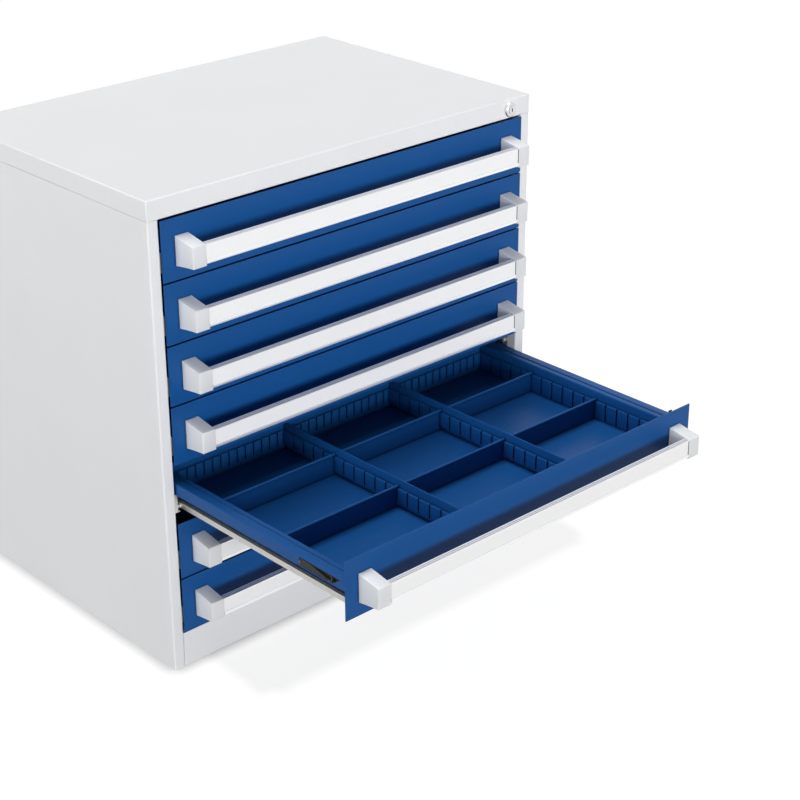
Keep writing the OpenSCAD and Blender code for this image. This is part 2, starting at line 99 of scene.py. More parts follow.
def level(name, description, value):
    """A property for a share or a strength."""
    return FloatProperty(name=name, description=description, default=value)


def tally(name, description, value):
    """A property for a whole number of things."""
    return IntProperty(name=name, description=description, min=1, default=value)


class CabinetFinish(bpy.types.PropertyGroup):
    body: colour("Body paint", "Powder coat of the cabinet's body", "#e3e4e6")
    drawer: colour("Drawer paint", "Powder coat of the drawers", "#144c89")
    bar: colour("Handle bar", "Anodised face of the handle bars", "#f2f3f5")
    label: colour("Label strip", "Blank strip in the handle bars", "#f4f4f4")
    cap: colour("Handle caps", "Moulded end caps", "#dcdee0")
    zinc: colour("Zinc", "Galvanised slides", "#c9c8c3")
    fitting: colour("Fittings", "Dark moulded catch and glides", "#1d1c19")
    steel: colour("Bearing steel", "Rollers", "#d6d7d9")
    plating: colour("Plating", "Lock", "#e0e0e2")
    floor: colour("Floor", "Studio floor under its white lift", "#7f7f7f")


class SheetSizes(bpy.types.PropertyGroup):
    body_sheet: length("Body sheet", "Thickness of the body's steel", 1.5)
    body_bend: length("Body bend", "Bend radius at the middle of the body's steel", 1.8)
    tray_sheet: length("Tray sheet", "Thickness of the trays' steel", 1)
    tray_bend: length("Tray bend", "Bend radius at the middle of the trays' steel", 1.3)
    post: length("Post", "Width and depth of the body's folded posts", 20)
    edge: length("Edge", "Rounding of the drawer fronts' edges", 0.8)
    cap_edge: length("Cap edge", "Rounding of the handle caps' edges", 0.9)
    bar_edge: length("Bar edge", "Rounding of the handle bars' edges", 0.15)
    cover_edge: length("Cover edge", "Rounding of the top cover's outer edges", 1.5)
    base_edge: length("Base edge", "Rounding of the base frame's outer edges", 1)
    back_edge: length("Back edge", "Rounding of the back panel's outer edges", 0.8)
    bend_steps: tally("Bend steps", "Flat strips in a quarter bend", 4)
    edge_steps: tally("Edge steps", "Flat strips in a rounded edge", 3)


class TraySizes(bpy.types.PropertyGroup):
    wall_gap: length("Wall gap", "From the rim's outer face to the tray's wall", 24.8)
    band: length("Band", "Width of the rim's raised outer band", 15.3)
    step: length("Step", "Height of the raised band", 1)
    lip: length("Lip", "Height of the rim's outer lip", 20)
    back_lip: length("Back lip", "Height of the lip along the rim's back", 10)
    ledge: length("Ledge", "Width of the ledge over the slotted walls", 4)
    ledge_drop: length("Ledge drop", "From the raised band down to the ledge", 17.5)
    slot: length("Slot", "Width of a slot", 2.8)
    side_pitch: length("Side pitch", "Between slots along the sides", 25)
    end_pitch: length("End pitch", "Between slots along the ends", 17)
    first_slot: length("First slot", "From the drawer's front to the first side slot", 29.5)
    side_foot: length("Side foot", "Solid strip under the side slots", 1.2)
    end_foot: length("End foot", "Solid strip under the end slots", 8)
    inside_back: length("Inside back", "From the drawer's front to the slotted back", 457)
    front: length("Front", "Thickness of the drawer's front", 2)
    spine: length("Spine", "Solid strip behind the slots in a ledge", 1.2)
    chamfer: length("Chamfer", "Chamfer along both sides of a slot", 0.3)
    groove: length("Groove", "Width of the groove pressed inside the raised band", 1.8)
    groove_depth: length("Groove depth", "Depth of that groove under the rim", 1.2)
    catch_from: length("Catch from", "Start of the cut for the catch, along its upper edge", 12)
    catch_to: length("Catch to", "End of the cut for the catch, along its upper edge", 102)
    catch_low: length("Catch low", "Height left under the cut for the catch", 2.3)
    catch_high: length("Catch high", "Height left over the cut for the catch", 2.5)
    front_slant: length("Front slant", "How far the cut's front end slopes back", 17)
    rear_slant: length("Rear slant", "How far the cut's rear end slopes back", 5)
    stud: length("Stud", "Width and height of the lock's stud on the rim", 7)
    stud_sheet: length("Stud sheet", "Thickness of the stud", 2)
    stud_inset: length("Stud inset", "From the rim's outer face to the stud", 1.5)
    stud_from: length("Stud from", "From the drawer's front to the stud", 34)


def sizes():
    """The sheet's sizes."""
    return bpy.context.scene.cabinet_sheet


def tray_sizes():
    """The trays' sizes."""
    return bpy.context.scene.cabinet_tray


# Materials

def add_node(tree, kind, inputs=(), **settings):
    """Adds a node, sets its properties, and fills or links its inputs by their name or place."""
    node = tree.nodes.new(kind)
    for name, value in settings.items():
        setattr(node, name, value)
    for name, value in dict(inputs).items():
        if isinstance(value, bpy.types.NodeSocket):
            tree.links.new(value, node.inputs[name])
        else:
            node.inputs[name].default_value = value
    return node


def new_material(name, rgb, roughness, metallic=0.0, **sockets):
    """A material with plain values on its shader's sockets; also its tree, shader and position."""
    material = bpy.data.materials.new(name)
    material.use_nodes = True
    tree = material.node_tree
    shader = tree.nodes["Principled BSDF"]
    shader.inputs["Base Color"].default_value = (*rgb, 1)
    shader.inputs["Roughness"].default_value = roughness
    shader.inputs["Metallic"].default_value = metallic
    for socket, value in sockets.items():
        shader.inputs[socket.replace("_", " ")].default_value = value
    place = add_node(tree, "ShaderNodeTexCoord").outputs["Object"]
    material.diffuse_color = (*rgb, 1)
    return material, tree, shader, place


def grain(tree, place, size, detail=2.0, stretch=(1, 1, 1)):
    """A grain that measures size metres, drawn out along an axis where stretch is small."""
    scaled = add_node(tree, "ShaderNodeMapping", {"Vector": place, "Scale": stretch})
    noise = add_node(tree, "ShaderNodeTexNoise",
                     {"Vector": scaled.outputs["Vector"], "Scale": 1 / size, "Detail": detail})
    return noise.outputs["Fac"]


# The Mix node's colour sockets share their names with its number sockets: they go by their place
COLOUR_A, COLOUR_B, MIXED_COLOUR = 6, 7, 2


def shaded(tree, shader, rgb, factor, darker, lighter):
    """Varies the base colour between two shares of rgb by a factor from 0 to 1."""
    low = (*[c * darker for c in rgb], 1)
    high = (*[min(1.0, c * lighter) for c in rgb], 1)
    mixed = add_node(tree, "ShaderNodeMix", {"Factor": factor, COLOUR_A: low, COLOUR_B: high},
                     data_type="RGBA")
    tree.links.new(mixed.outputs[MIXED_COLOUR], shader.inputs["Base Color"])


def varied_roughness(tree, shader, factor, low, high):
    """Varies the gloss between two values of roughness by a factor from 0 to 1."""
    ranged = add_node(tree, "ShaderNodeMapRange", {"Value": factor, "To Min": low, "To Max": high})
    tree.links.new(ranged.outputs["Result"], shader.inputs["Roughness"])


def bumped(tree, shader, height, depth, strength):
    """Breaks up the surface by a pattern of that depth."""
    bump = add_node(tree, "ShaderNodeBump",
                    {"Height": height, "Distance": depth, "Strength": strength})
    tree.links.new(bump.outputs["Normal"], shader.inputs["Normal"])


def powder_coat(name, rgb, roughness, shade_reach=0.0):
    """Polyester powder coat, baked on: satin, with a fine orange peel that shows in reflections.

    Where shade_reach is given, painted shade darkens slots and corners of that size, by occlusion.
    """
    material, tree, shader, place = new_material(name, rgb, roughness, IOR=1.5,
                                                 Specular_IOR_Level=0.14)
    peel = grain(tree, place, 2.2 * MM, detail=1.5)
    cloud = grain(tree, place, 160 * MM)
    if shade_reach:
        # Painted shade: occlusion darkens the colour in slots and corners
        occlusion_shade = add_node(tree, "ShaderNodeAmbientOcclusion", {"Distance": shade_reach}, samples=8)
        shaded(tree, shader, rgb, occlusion_shade.outputs["AO"], darker=0.05, lighter=1.0)
    else:
        shaded(tree, shader, rgb, cloud, darker=0.975, lighter=1.02)
    spread = 0.04
    varied_roughness(tree, shader, cloud, roughness - spread, roughness + spread)
    bumped(tree, shader, peel, depth=0.03 * MM, strength=0.35)
    return material


def anodised_aluminium(name, rgb):
    """Extruded aluminium, matt etched and clear anodised: faint draw lines, painted shade in
    grooves.

    The oxide scatters as much as it mirrors, so it is not fully metallic. The draw lines are
    0.1 mm wide on a real bar and are drawn coarser here to show.
    """
    material, tree, shader, place = new_material(name, rgb, roughness=0.4, metallic=0.65)
    # Painted shade: occlusion within 2 mm darkens the colour in the grooves
    occlusion_shade = add_node(tree, "ShaderNodeAmbientOcclusion", {"Distance": 2 * MM}, samples=8)
    shaded(tree, shader, rgb, occlusion_shade.outputs["AO"], darker=0.0, lighter=1.0)
    lines = grain(tree, place, 1.2 * MM, detail=1.0, stretch=(0.01, 1, 1))
    varied_roughness(tree, shader, lines, low=0.34, high=0.44)
    bumped(tree, shader, lines, depth=0.02 * MM, strength=0.4)
    return material


def label_card(name, rgb):
    """Blank coated card behind a clear cover: bright, slightly glossy, with a faint fibre."""
    material, tree, shader, place = new_material(name, rgb, roughness=0.35, IOR=1.49)
    fibre = grain(tree, place, 1.5 * MM, detail=3.0, stretch=(0.4, 1, 1))
    shaded(tree, shader, rgb, fibre, darker=0.985, lighter=1.01)
    return material


def moulded_plastic(name, rgb, roughness):
    """Injection-moulded ABS with a spark-eroded grain of under a millimetre."""
    material, tree, shader, place = new_material(name, rgb, roughness, IOR=1.53)
    pits = grain(tree, place, 0.9 * MM)
    cloud = grain(tree, place, 30 * MM)
    shaded(tree, shader, rgb, cloud, darker=0.97, lighter=1.02)
    bumped(tree, shader, pits, depth=0.02 * MM, strength=0.5)
    return material


def galvanised_sheet(name, rgb):
    """Hot-dipped zinc on steel: dull crystals about 7 mm across, each with its grey and gloss."""
    material, tree, shader, place = new_material(name, rgb, roughness=0.45, metallic=0.8)
    spangle = add_node(tree, "ShaderNodeTexVoronoi", {"Vector": place, "Scale": 1 / (7 * MM)})
    parted = add_node(tree, "ShaderNodeSeparateColor", {"Color": spangle.outputs["Color"]})
    grey = parted.outputs["Red"]
    shaded(tree, shader, rgb, grey, darker=0.93, lighter=1.04)
    varied_roughness(tree, shader, grey, low=0.42, high=0.52)
    return material


def turned_steel(name, rgb, roughness):
    """Ground or plated steel: bright, with a fine brushed variation in its gloss."""
    material, tree, shader, place = new_material(name, rgb, roughness, metallic=1.0)
    scratches = grain(tree, place, 1.0 * MM, stretch=(0.1, 1, 1))
    varied_roughness(tree, shader, scratches, low=roughness * 0.8, high=roughness * 1.25)
    shaded(tree, shader, rgb, scratches, darker=0.93, lighter=1.04)
    return material


def seen_share(tree):
    """1 for what the camera sees directly or by a mirror or glass, 0 for light on the object."""
    rays = add_node(tree, "ShaderNodeLightPath").outputs
    share = rays["Is Camera Ray"]
    for kind in ("Is Glossy Ray", "Is Transmission Ray"):
        share = add_node(tree, "ShaderNodeMath", {0: share, 1: rays[kind]},
                         operation="MAXIMUM").outputs[0]
    return share


def studio_floor(name, rgb):
    """Matt paper sweep, lifted to white where it is seen, apart from the shadows on it.

    It keeps the drawer's soft shadow from the floor's lamp; the dark line at the base is a painted
    shadow.
    """
    lift, painted_shadow_reach = 0.865, 28 * MM
    material, tree, shader, place = new_material(name, rgb, roughness=0.9, Specular_IOR_Level=0.0)
    shaded(tree, shader, rgb, grain(tree, place, 600 * MM), darker=0.998, lighter=1.002)
    # Painted shadow: occlusion near the base dims the floor's white lift
    strength = add_node(tree, "ShaderNodeAmbientOcclusion", {"Distance": painted_shadow_reach},
                        samples=16).outputs["AO"]
    for factor in (lift, seen_share(tree)):
        strength = add_node(tree, "ShaderNodeMath", {0: strength, 1: factor},
                            operation="MULTIPLY").outputs[0]
    glow = add_node(tree, "ShaderNodeEmission", {"Strength": strength})
    both = add_node(tree, "ShaderNodeAddShader", {0: shader.outputs[0], 1: glow.outputs[0]})
    tree.links.new(both.outputs[0], tree.nodes["Material Output"].inputs["Surface"])
    return material


# How each slot's material is made from the chosen colours
MAKERS = {
    "body_paint": lambda f: powder_coat("Powder coat light grey", f.body, roughness=0.42),
    # The drawers' paint gets painted shade in its slots and corners within 5 mm
    "drawer_paint": lambda f: powder_coat("Powder coat blue", f.drawer, roughness=0.36,
                                          shade_reach=5 * MM),
    "handle_bar": lambda f: anodised_aluminium("Anodised aluminium", f.bar),
    "label": lambda f: label_card("Label card", f.label),
    "handle_caps": lambda f: moulded_plastic("Moulded ABS grey", f.cap, roughness=0.4),
    "galvanised": lambda f: galvanised_sheet("Galvanised steel", f.zinc),
    "fittings": lambda f: moulded_plastic("Moulded ABS dark", f.fitting, roughness=0.7),
    "roller_steel": lambda f: turned_steel("Turned steel", f.steel, roughness=0.25),
    "lock_metal": lambda f: turned_steel("Plated brass", f.plating, roughness=0.16),
    "floor": lambda f: studio_floor("Studio paper", f.floor),
}
made_materials = {}


def material_for(slot):
    """A slot's material, made when it is first asked for."""
    if slot not in made_materials:
        made_materials[slot] = MAKERS[slot](bpy.context.scene.cabinet_finish)
    return made_materials[slot]


# Sheet metal

QUARTER_TURN = Matrix.Rotation(math.radians(90), 4, "Z")
FLIP_X = Matrix.Scale(-1, 4, (1, 0, 0))
FLIP_Y = Matrix.Scale(-1, 4, (0, 1, 0))

BEND_ROOM = 0.48  # share of a straight that one bend may take, so that two bends never meet
LEAST_MITRE = 0.5  # keeps a sheet's outline from running to a spike in a tight fold
ON_FACE = 0.02 * MM  # how near a point lies to a plane that it is on
WELD = 0.01 * MM  # points of a CAD mesh nearer than this are one
FLAT = math.radians(1)  # faces that turn by less are one flat face
SHARP = math.radians(30)  # edges that turn by more are rounded
STEEP = math.radians(60)  # a handle cap's real edges turn by more, its curves' strips by less
SMOOTH = math.radians(35)  # faces that turn by less look round
BROAD_FACE = 0.004  # in square metres; larger faces stay flat


def bend(before, corner, after, radius, steps):
    """The points of one bend, tightened where the next corners lie too close for its radius."""
    back, ahead = before - corner, after - corner
    room = BEND_ROOM * min(back.length, ahead.length)
    back.normalize()
    ahead.normalize()
    half = back.angle(ahead) / 2
    radius = min(radius, room * math.tan(half))
    centre = corner + (back + ahead).normalized() * (radius / math.sin(half))
    spoke = corner + back * (radius / math.tan(half)) - centre
    turn = spoke.angle_signed(corner + ahead * (radius / math.tan(half)) - centre)
    return [centre + Matrix.Rotation(-turn * step / steps, 2) @ spoke for step in range(steps + 1)]


def bent(points, radius, steps):
    """An open line through 2-D points whose corners are bends of that radius."""
    corners = [Vector(p) for p in points]
    line = [corners[0]]
    for before, corner, after in zip(corners, corners[1:], corners[2:]):
        line += bend(before, corner, after, radius, steps)
    return line + [corners[-1]]


def rounded(points, radius, steps):
    """A closed outline through 2-D points with its corners rounded."""
    corners = [Vector(p) for p in points]
    outline = []
    for k, corner in enumerate(corners):
        outline += bend(corners[k - 1], corner, corners[(k + 1) % len(corners)], radius, steps)
    return outline


def sheet_outline(line, thickness):
    """The closed outline of a sheet whose middle follows a line."""
    left, right = [], []
    for k, point in enumerate(line):
        before = (point - line[k - 1]).normalized() if k > 0 else None
        after = (line[k + 1] - point).normalized() if k < len(line) - 1 else None
        along = ((before or after) + (after or before)).normalized()
        across = Vector((-along.y, along.x))
        reach = thickness / 2 / max(LEAST_MITRE, along.dot(before or after))
        left.append(point + across * reach)
        right.append(point - across * reach)
    return left + right[::-1]


# Where a point of a prism lies: its outline's two numbers and its place along the prism's axis
ALONG = {
    "X": lambda u, v, w: Vector((w, u, v)),
    "Y": lambda u, v, w: Vector((u, w, v)),
    "Z": lambda u, v, w: Vector((u, v, w)),
}


def extrude(bm, outline, axis, start, end):
    """Adds a closed prism; the outline's numbers run along the other two axes, in their order."""
    ends = [[bm.verts.new(ALONG[axis](u, v, w)) for u, v in outline] for w in (start, end)]
    faces = [bm.faces.new(ends[0]), bm.faces.new(ends[1][::-1])]
    for k in range(len(outline)):
        after = (k + 1) % len(outline)
        faces.append(bm.faces.new([ends[0][k], ends[1][k], ends[1][after], ends[0][after]]))
    bmesh.ops.recalc_face_normals(bm, faces=faces)


def fold(bm, points, thickness, radius, axis, start, end):
    """Adds a folded sheet that keeps one section from start to end."""
    line = bent(points, radius, sizes().bend_steps)
    extrude(bm, sheet_outline(line, thickness), axis, start, end)


def block(bm, low, high):
    """Adds a plain closed block between two corners."""
    corners = [(low[0], low[1]), (high[0], low[1]), (high[0], high[1]), (low[0], high[1])]
    extrude(bm, corners, "Z", low[2], high[2])


def merged_copy(node):
    """A copy of a CAD node's mesh with its doubles merged and its flat faces whole again."""
    bm = bmesh.new()
    bm.from_mesh(NODES[node].data)
    bmesh.ops.remove_doubles(bm, verts=bm.verts, dist=WELD)
    bmesh.ops.dissolve_limit(bm, angle_limit=FLAT, verts=bm.verts, edges=bm.edges)
    return bm


def soften(bm, width, segments, wanted=lambda edge: True):
    """Rounds the sharp edges, or those of them that wanted() picks."""
    sharp = [e for e in bm.edges if e.is_manifold and e.calc_face_angle(0) > SHARP]
    chosen = [e for e in sharp if wanted(e)]
    bmesh.ops.bevel(bm, geom=chosen, offset=width, segments=segments, profile=0.5, affect="EDGES",
                    clamp_overlap=True)


def on_outline(low, high):
    """Picks the edges that lie on the edges of the box between two corners."""
    def touches(edge):
        sides = 0
        for axis in range(3):
            for face in (low[axis], high[axis]):
                sides += all(abs(v.co[axis] - face) < ON_FACE for v in edge.verts)
        return sides >= 2
    return touches


def as_mesh(bm, name, slot):
    """A finished mesh whose bends look round while its broad faces stay flat."""
    mesh = bpy.data.meshes.new(name)
    bm.to_mesh(mesh)
    bm.free()
    mesh.shade_smooth()
    mesh.set_sharp_from_angle(angle=SMOOTH)
    for face in mesh.polygons:
        face.use_smooth = face.area < BROAD_FACE
    mesh.materials.append(material_for(slot))
    return mesh


def add_piece(name, mesh, body, replaces):
    """Shows a finished mesh as a piece that rides on a body and may stand for CAD nodes."""
    piece = bpy.data.objects.new(name, mesh)
    bpy.context.scene.collection.objects.link(piece)
    if replaces:
        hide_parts(*replaces)
    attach(piece, body)


def show_in_drawers(bm, name, slot, part=None, drawers=DRAWERS):
    """Shows a mesh, built from the lower edge of a drawer's front, in each of the drawers.

    The part is the CAD node that it stands for, and a label strip stands for none.
    The label's card is no slot of the record.
    """
    mesh = as_mesh(bm, name, slot)
    for number in drawers:
        low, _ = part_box(f"drawer_{number}_front")
        copy = mesh.copy()
        copy.transform(Matrix.Translation((0, low.y, low.z)))
        replaces = [f"drawer_{number}_{part}"] if part else []
        add_piece(f"{name}_{number}", copy, f"drawer_{number}", replaces)


# Geometry nodes

ROW_TREE = "Repeat in a row"


def repeat_tree():
    """A node tree that repeats a mesh along a straight line and gives it its material."""
    tree = bpy.data.node_groups.new(ROW_TREE, "GeometryNodeTree")
    sockets = [("Geometry", "NodeSocketGeometry"), ("Count", "NodeSocketInt"),
               ("Step", "NodeSocketVector"), ("Material", "NodeSocketMaterial")]
    for name, kind in sockets:
        tree.interface.new_socket(name, in_out="INPUT", socket_type=kind)
    tree.interface.new_socket("Geometry", in_out="OUTPUT", socket_type="NodeSocketGeometry")
    given = add_node(tree, "NodeGroupInput").outputs
    row = add_node(tree, "GeometryNodeMeshLine", {"Count": given["Count"], "Offset": given["Step"]})
    copies = add_node(tree, "GeometryNodeInstanceOnPoints",
                      {"Points": row.outputs["Mesh"], "Instance": given["Geometry"]})
    real = add_node(tree, "GeometryNodeRealizeInstances", {"Geometry": copies.outputs["Instances"]})
    painted = add_node(tree, "GeometryNodeSetMaterial",
                       {"Geometry": real.outputs["Geometry"], "Material": given["Material"]})
    add_node(tree, "NodeGroupOutput", {"Geometry": painted.outputs["Geometry"]})
    return tree


def repeated(bm, count, step, slot):
    """Repeats a small mesh count times, step apart, and returns the row as a plain mesh."""
    tree = bpy.data.node_groups.get(ROW_TREE) or repeat_tree()
    identifiers = {s.name: s.identifier for s in tree.interface.items_tree if s.in_out == "INPUT"}
    source = bpy.data.objects.new("row_source", as_mesh(bm, "row_source", slot))
    bpy.context.scene.collection.objects.link(source)
    modifier = source.modifiers.new("Row", "NODES")
    modifier.node_group = tree
    modifier[identifiers["Count"]] = count
    modifier[identifiers["Step"]] = step
    modifier[identifiers["Material"]] = material_for(slot)
    depsgraph = bpy.context.evaluated_depsgraph_get()
    row = bpy.data.meshes.new_from_object(source.evaluated_get(depsgraph), depsgraph=depsgraph)
    source.modifiers.remove(modifier)
    bpy.data.objects.remove(source)
    return row


def joined(bm, meshes):
    """Adds finished rows to a mesh that is still being built."""
    for mesh in meshes:
        bm.from_mesh(mesh)
    return bm


# Body

def body_panel(bm, node):
    """A side panel folded at the front and the back into posts, as one bent sheet."""
    low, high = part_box(node)
    size = sizes()
    half = size.body_sheet / 2
    inner, outer = (high.x, low.x) if low.x < 0 else (low.x, high.x)
    side = 1 if outer < 0 else -1
    fold_x, skin_x = inner - side * half, outer + side * half
    points = [(fold_x, low.y + size.post), (fold_x, low.y + half), (skin_x, low.y + half),
              (skin_x, high.y - half), (fold_x, high.y - half), (fold_x, high.y - size.post)]
    fold(bm, points, size.body_sheet, size.body_bend, "Z", low.z, high.z)


def add_body_piece(bm, node, made):
    """Shows a body panel in place of its CAD node."""
    mesh = as_mesh(bm, node, "body_paint")
    add_piece(f"{node}_{made}", mesh, "cabinet", [node])


def make_body():
    """The folded side panels, and the pressed panels with their outer edges rounded."""
    for node in ("side_panel_left", "side_panel_right"):
        bm = bmesh.new()
        body_panel(bm, node)
        add_body_piece(bm, node, "folded")
    size = sizes()
    for node, width in (("top_cover", size.cover_edge), ("base_frame", size.base_edge),
                        ("back_panel", size.back_edge)):
        bm = merged_copy(node)
        soften(bm, width, size.bend_steps, on_outline(*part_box(node)))
        add_body_piece(bm, node, "pressed")


# Drawers

def make_fronts():
    """The drawers' front panels, with rounded edges."""
    low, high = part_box("drawer_1_front")
    bm = bmesh.new()
    block(bm, (low.x, 0, 0), (high.x, high.y - low.y, high.z - low.z))
    soften(bm, sizes().edge, sizes().edge_steps)
    show_in_drawers(bm, "front_panel", "drawer_paint", "front")


def tray_levels():
    """The tray's main faces in the drawer's own frame, from the frame and the named sizes."""
    size, tray = sizes(), tray_sizes()
    low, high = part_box("drawer_1_tray")
    origin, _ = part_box("drawer_1_front")
    rim_x = high.x
    under = low.z - origin.z
    stud_top = high.z - origin.z
    wall_x = rim_x - tray.wall_gap
    band_x = wall_x - size.tray_sheet
    rim_top = stud_top - tray.stud
    return {"rim_x": rim_x, "wall_x": wall_x, "band_x": band_x, "slotted_x": band_x - tray.ledge,
            "under": under, "floor": under + size.tray_sheet, "rim_top": rim_top,
            "ledge": rim_top - tray.ledge_drop, "end": high.y - origin.y}


def tray_section(at):
    """The middle line of the tray's sheet across its width: lip, band, rim, wall, floor, and up."""
    size, tray = sizes(), tray_sizes()
    half = size.tray_sheet / 2
    lip_x, wall_x = at["rim_x"] - half, at["wall_x"] - half
    step_x = at["rim_x"] - tray.band
    high, low = at["rim_top"] - half, at["rim_top"] - tray.step - half
    dip = low - tray.groove_depth
    right = [(lip_x, at["rim_top"] - tray.lip), (lip_x, high), (step_x + tray.step, high),
             (step_x, dip), (step_x - tray.groove / 2, dip), (step_x - tray.groove, low),
             (wall_x, low), (wall_x, at["under"] + half)]
    return bent(right + [(-x, z) for x, z in reversed(right)], size.tray_bend, size.bend_steps)


def tray_rim_section(at):
    """The middle line of the right rim behind the back wall, out to the wall's inner face."""
    line = tray_section(at)
    low = at["rim_top"] - tray_sizes().step - sizes().tray_sheet / 2
    reach = [p for p in line[:len(line) // 2] if p.x > at["wall_x"] + 2 * sizes().tray_bend]
    return reach + [Vector((at["band_x"], low))]


def tooth(width, height, depth, spine):
    """One tongue between two slots: it rises along Z and bends over along +Y to the spine."""
    size = sizes()
    t, end = size.tray_sheet, width / 2
    bm = bmesh.new()
    line = [(t / 2, 0), (t / 2, height - t / 2), (depth - spine, height - t / 2)]
    fold(bm, line, t, size.tray_bend, "X", -end, end)

    def at_end(edge):
        return any(all(abs(v.co.x - x) < ON_FACE for v in edge.verts) for x in (-end, end))

    soften(bm, tray_sizes().chamfer, segments=1, wanted=at_end)
    return bm


def slotted_wall(bm, run, first, pitch, count, foot, height, depth):
    """A slotted wall along +X from 0 to run that faces -Y, with its foot and its ledge's spine."""
    tray, t = tray_sizes(), sizes().tray_sheet
    block(bm, (0, 0, 0), (run, t, foot))
    block(bm, (0, depth - tray.spine, height - t), (run, depth, height))
    between = tooth(pitch - tray.slot, height - foot, depth, tray.spine)
    row = repeated(between, count - 1, (pitch, 0, 0), "drawer_paint")
    row.transform(Matrix.Translation((first + pitch / 2, 0, foot)))
    ends = []
    last = first + (count - 1) * pitch
    for start, end in ((0, first - tray.slot / 2), (last + tray.slot / 2, run)):
        rest = tooth(end - start, height - foot, depth, tray.spine)
        part = as_mesh(rest, "tooth", "drawer_paint")
        part.transform(Matrix.Translation(((start + end) / 2, 0, foot)))
        ends.append(part)
    joined(bm, [row, *ends])


def placed(build, *transforms):
    """Builds into a mesh of its own and moves it by the transforms, the last one first."""
    bm = bmesh.new()
    build(bm)
    matrix = Matrix.Identity(4)
    for step in transforms:
        matrix = matrix @ step
    bmesh.ops.transform(bm, matrix=matrix, verts=bm.verts)
    if matrix.determinant() < 0:
        bmesh.ops.reverse_faces(bm, faces=bm.faces)
    mesh = bpy.data.meshes.new("part")
    bm.to_mesh(mesh)
    bm.free()
    return mesh


def tray_shell():
    """The tray without its slotted walls: its left lip is cut for the catch, its rim has a stud."""
    size, tray = sizes(), tray_sizes()
    at = tray_levels()
    t = size.tray_sheet
    back = tray.inside_back + tray.ledge
    whole = tray_section(at)
    wall_top = at["rim_top"] - tray.step - t
    cut_top = wall_top - tray.catch_high
    cut = whole[:-1] + [Vector((whole[-1].x, cut_top))]
    cut_end = tray.catch_to + tray.rear_slant
    bm = bmesh.new()
    for line, start, end in ((whole, tray.front, tray.catch_from), (cut, tray.catch_from, cut_end),
                             (whole, cut_end, back + t)):
        extrude(bm, sheet_outline(line, t), "Y", start, end)
    lip_low = at["rim_top"] - tray.lip
    cut_low = lip_low + tray.catch_low
    block(bm, (-at["rim_x"], tray.catch_from, lip_low), (t - at["rim_x"], cut_end, cut_low))
    for slope in ([(tray.catch_from, cut_top), (tray.catch_from, cut_low),
                   (tray.catch_from + tray.front_slant, cut_low)],
                  [(tray.catch_to, cut_top), (cut_end, cut_top), (cut_end, cut_low)]):
        extrude(bm, slope, "X", -at["rim_x"], t - at["rim_x"])
    rim = sheet_outline(tray_rim_section(at), t)
    extrude(bm, rim, "Y", back + t, at["end"])
    extrude(bm, [(-x, z) for x, z in rim], "Y", back + t, at["end"])
    low = wall_top + t / 2
    back_line = [(back + t / 2, at["floor"]), (back + t / 2, low), (at["end"] - t / 2, low),
                 (at["end"] - t / 2, at["rim_top"] - tray.back_lip)]
    fold(bm, back_line, t, size.tray_bend, "X", -at["band_x"], at["band_x"])
    for side in (-1, 1):
        ends = sorted((side * at["band_x"], side * (at["rim_x"] - t)))
        lip = [Vector((at["end"] - t / 2, z)) for z in (low + tray.step / 2, back_line[-1][1])]
        extrude(bm, sheet_outline(lip, t), "X", *ends)
    block(bm, (-at["band_x"], tray.front, at["floor"]), (at["band_x"], tray.front + t, wall_top))
    stud_x = at["rim_x"] - tray.stud_inset
    block(bm, (stud_x - tray.stud, tray.stud_from, at["rim_top"]),
          (stud_x, tray.stud_from + tray.stud_sheet, at["rim_top"] + tray.stud))
    return bm


def side_slots(tray):
    """The number of slots along a side; half a pitch stays free behind the last one."""
    return math.floor((tray.inside_back - tray.first_slot) / tray.side_pitch + 0.5)


def slotted_walls():
    """The slotted walls on all four sides of a tray."""
    tray, at = tray_sizes(), tray_levels()
    front = tray.front + sizes().tray_sheet + tray.ledge
    side_run = tray.inside_back - front
    end_count = math.floor(2 * at["slotted_x"] / tray.end_pitch - 0.5)
    height = at["ledge"] - at["floor"]

    def side(bm):
        slotted_wall(bm, side_run, tray.first_slot - front, tray.side_pitch, side_slots(tray),
                     tray.side_foot, height, tray.ledge)

    def end(bm):
        slotted_wall(bm, 2 * at["band_x"], tray.ledge + tray.end_pitch, tray.end_pitch, end_count,
                     tray.end_foot, height, tray.ledge)

    to_left = Matrix.Translation((-at["slotted_x"], front, at["floor"]))
    to_back = Matrix.Translation((-at["band_x"], tray.inside_back, at["floor"]))
    to_front = Matrix.Translation((-at["band_x"], front, at["floor"]))
    return [placed(side, to_left, QUARTER_TURN), placed(side, FLIP_X, to_left, QUARTER_TURN),
            placed(end, to_back), placed(end, to_front, FLIP_Y)]


def make_trays():
    """The trays, each a shell and its slotted walls."""
    show_in_drawers(tray_shell(), "tray_shell", "drawer_paint", "tray")
    walls = joined(bmesh.new(), slotted_walls())
    show_in_drawers(walls, "tray_slotted_walls", "drawer_paint")


def node_material(node, slot):
    """Gives a CAD node that is shown as it is its material."""
    for holder in NODES[node].material_slots:
        holder.material = material_for(slot)


# Dividers of the open drawer

class DividerSizes(bpy.types.PropertyGroup):
    width: length("Partition width", "Across a partition's slotted cheeks", 10)
    plate: length("Partition plate", "Thickness of a partition's upright plate", 1.6)
    cheek: length("Cheek", "Height of a partition's slotted cheeks", 26)
    bead: length("Bead", "Diameter of a cross divider's rolled edge", 4.8)
    bead_gap: length("Bead gap", "From a rolled edge's end to the next plate", 0.5)
    curl: tilt("Curl", "How far round the rolled edge is rolled", 335)
    sheet: length("Divider sheet", "Thickness of a cross divider", 1)
    tongue: length("Tongue", "How far the tongues reach through the slots", 2)
    gap: length("Gap", "Play between a divider and what it stands in", 0.3)


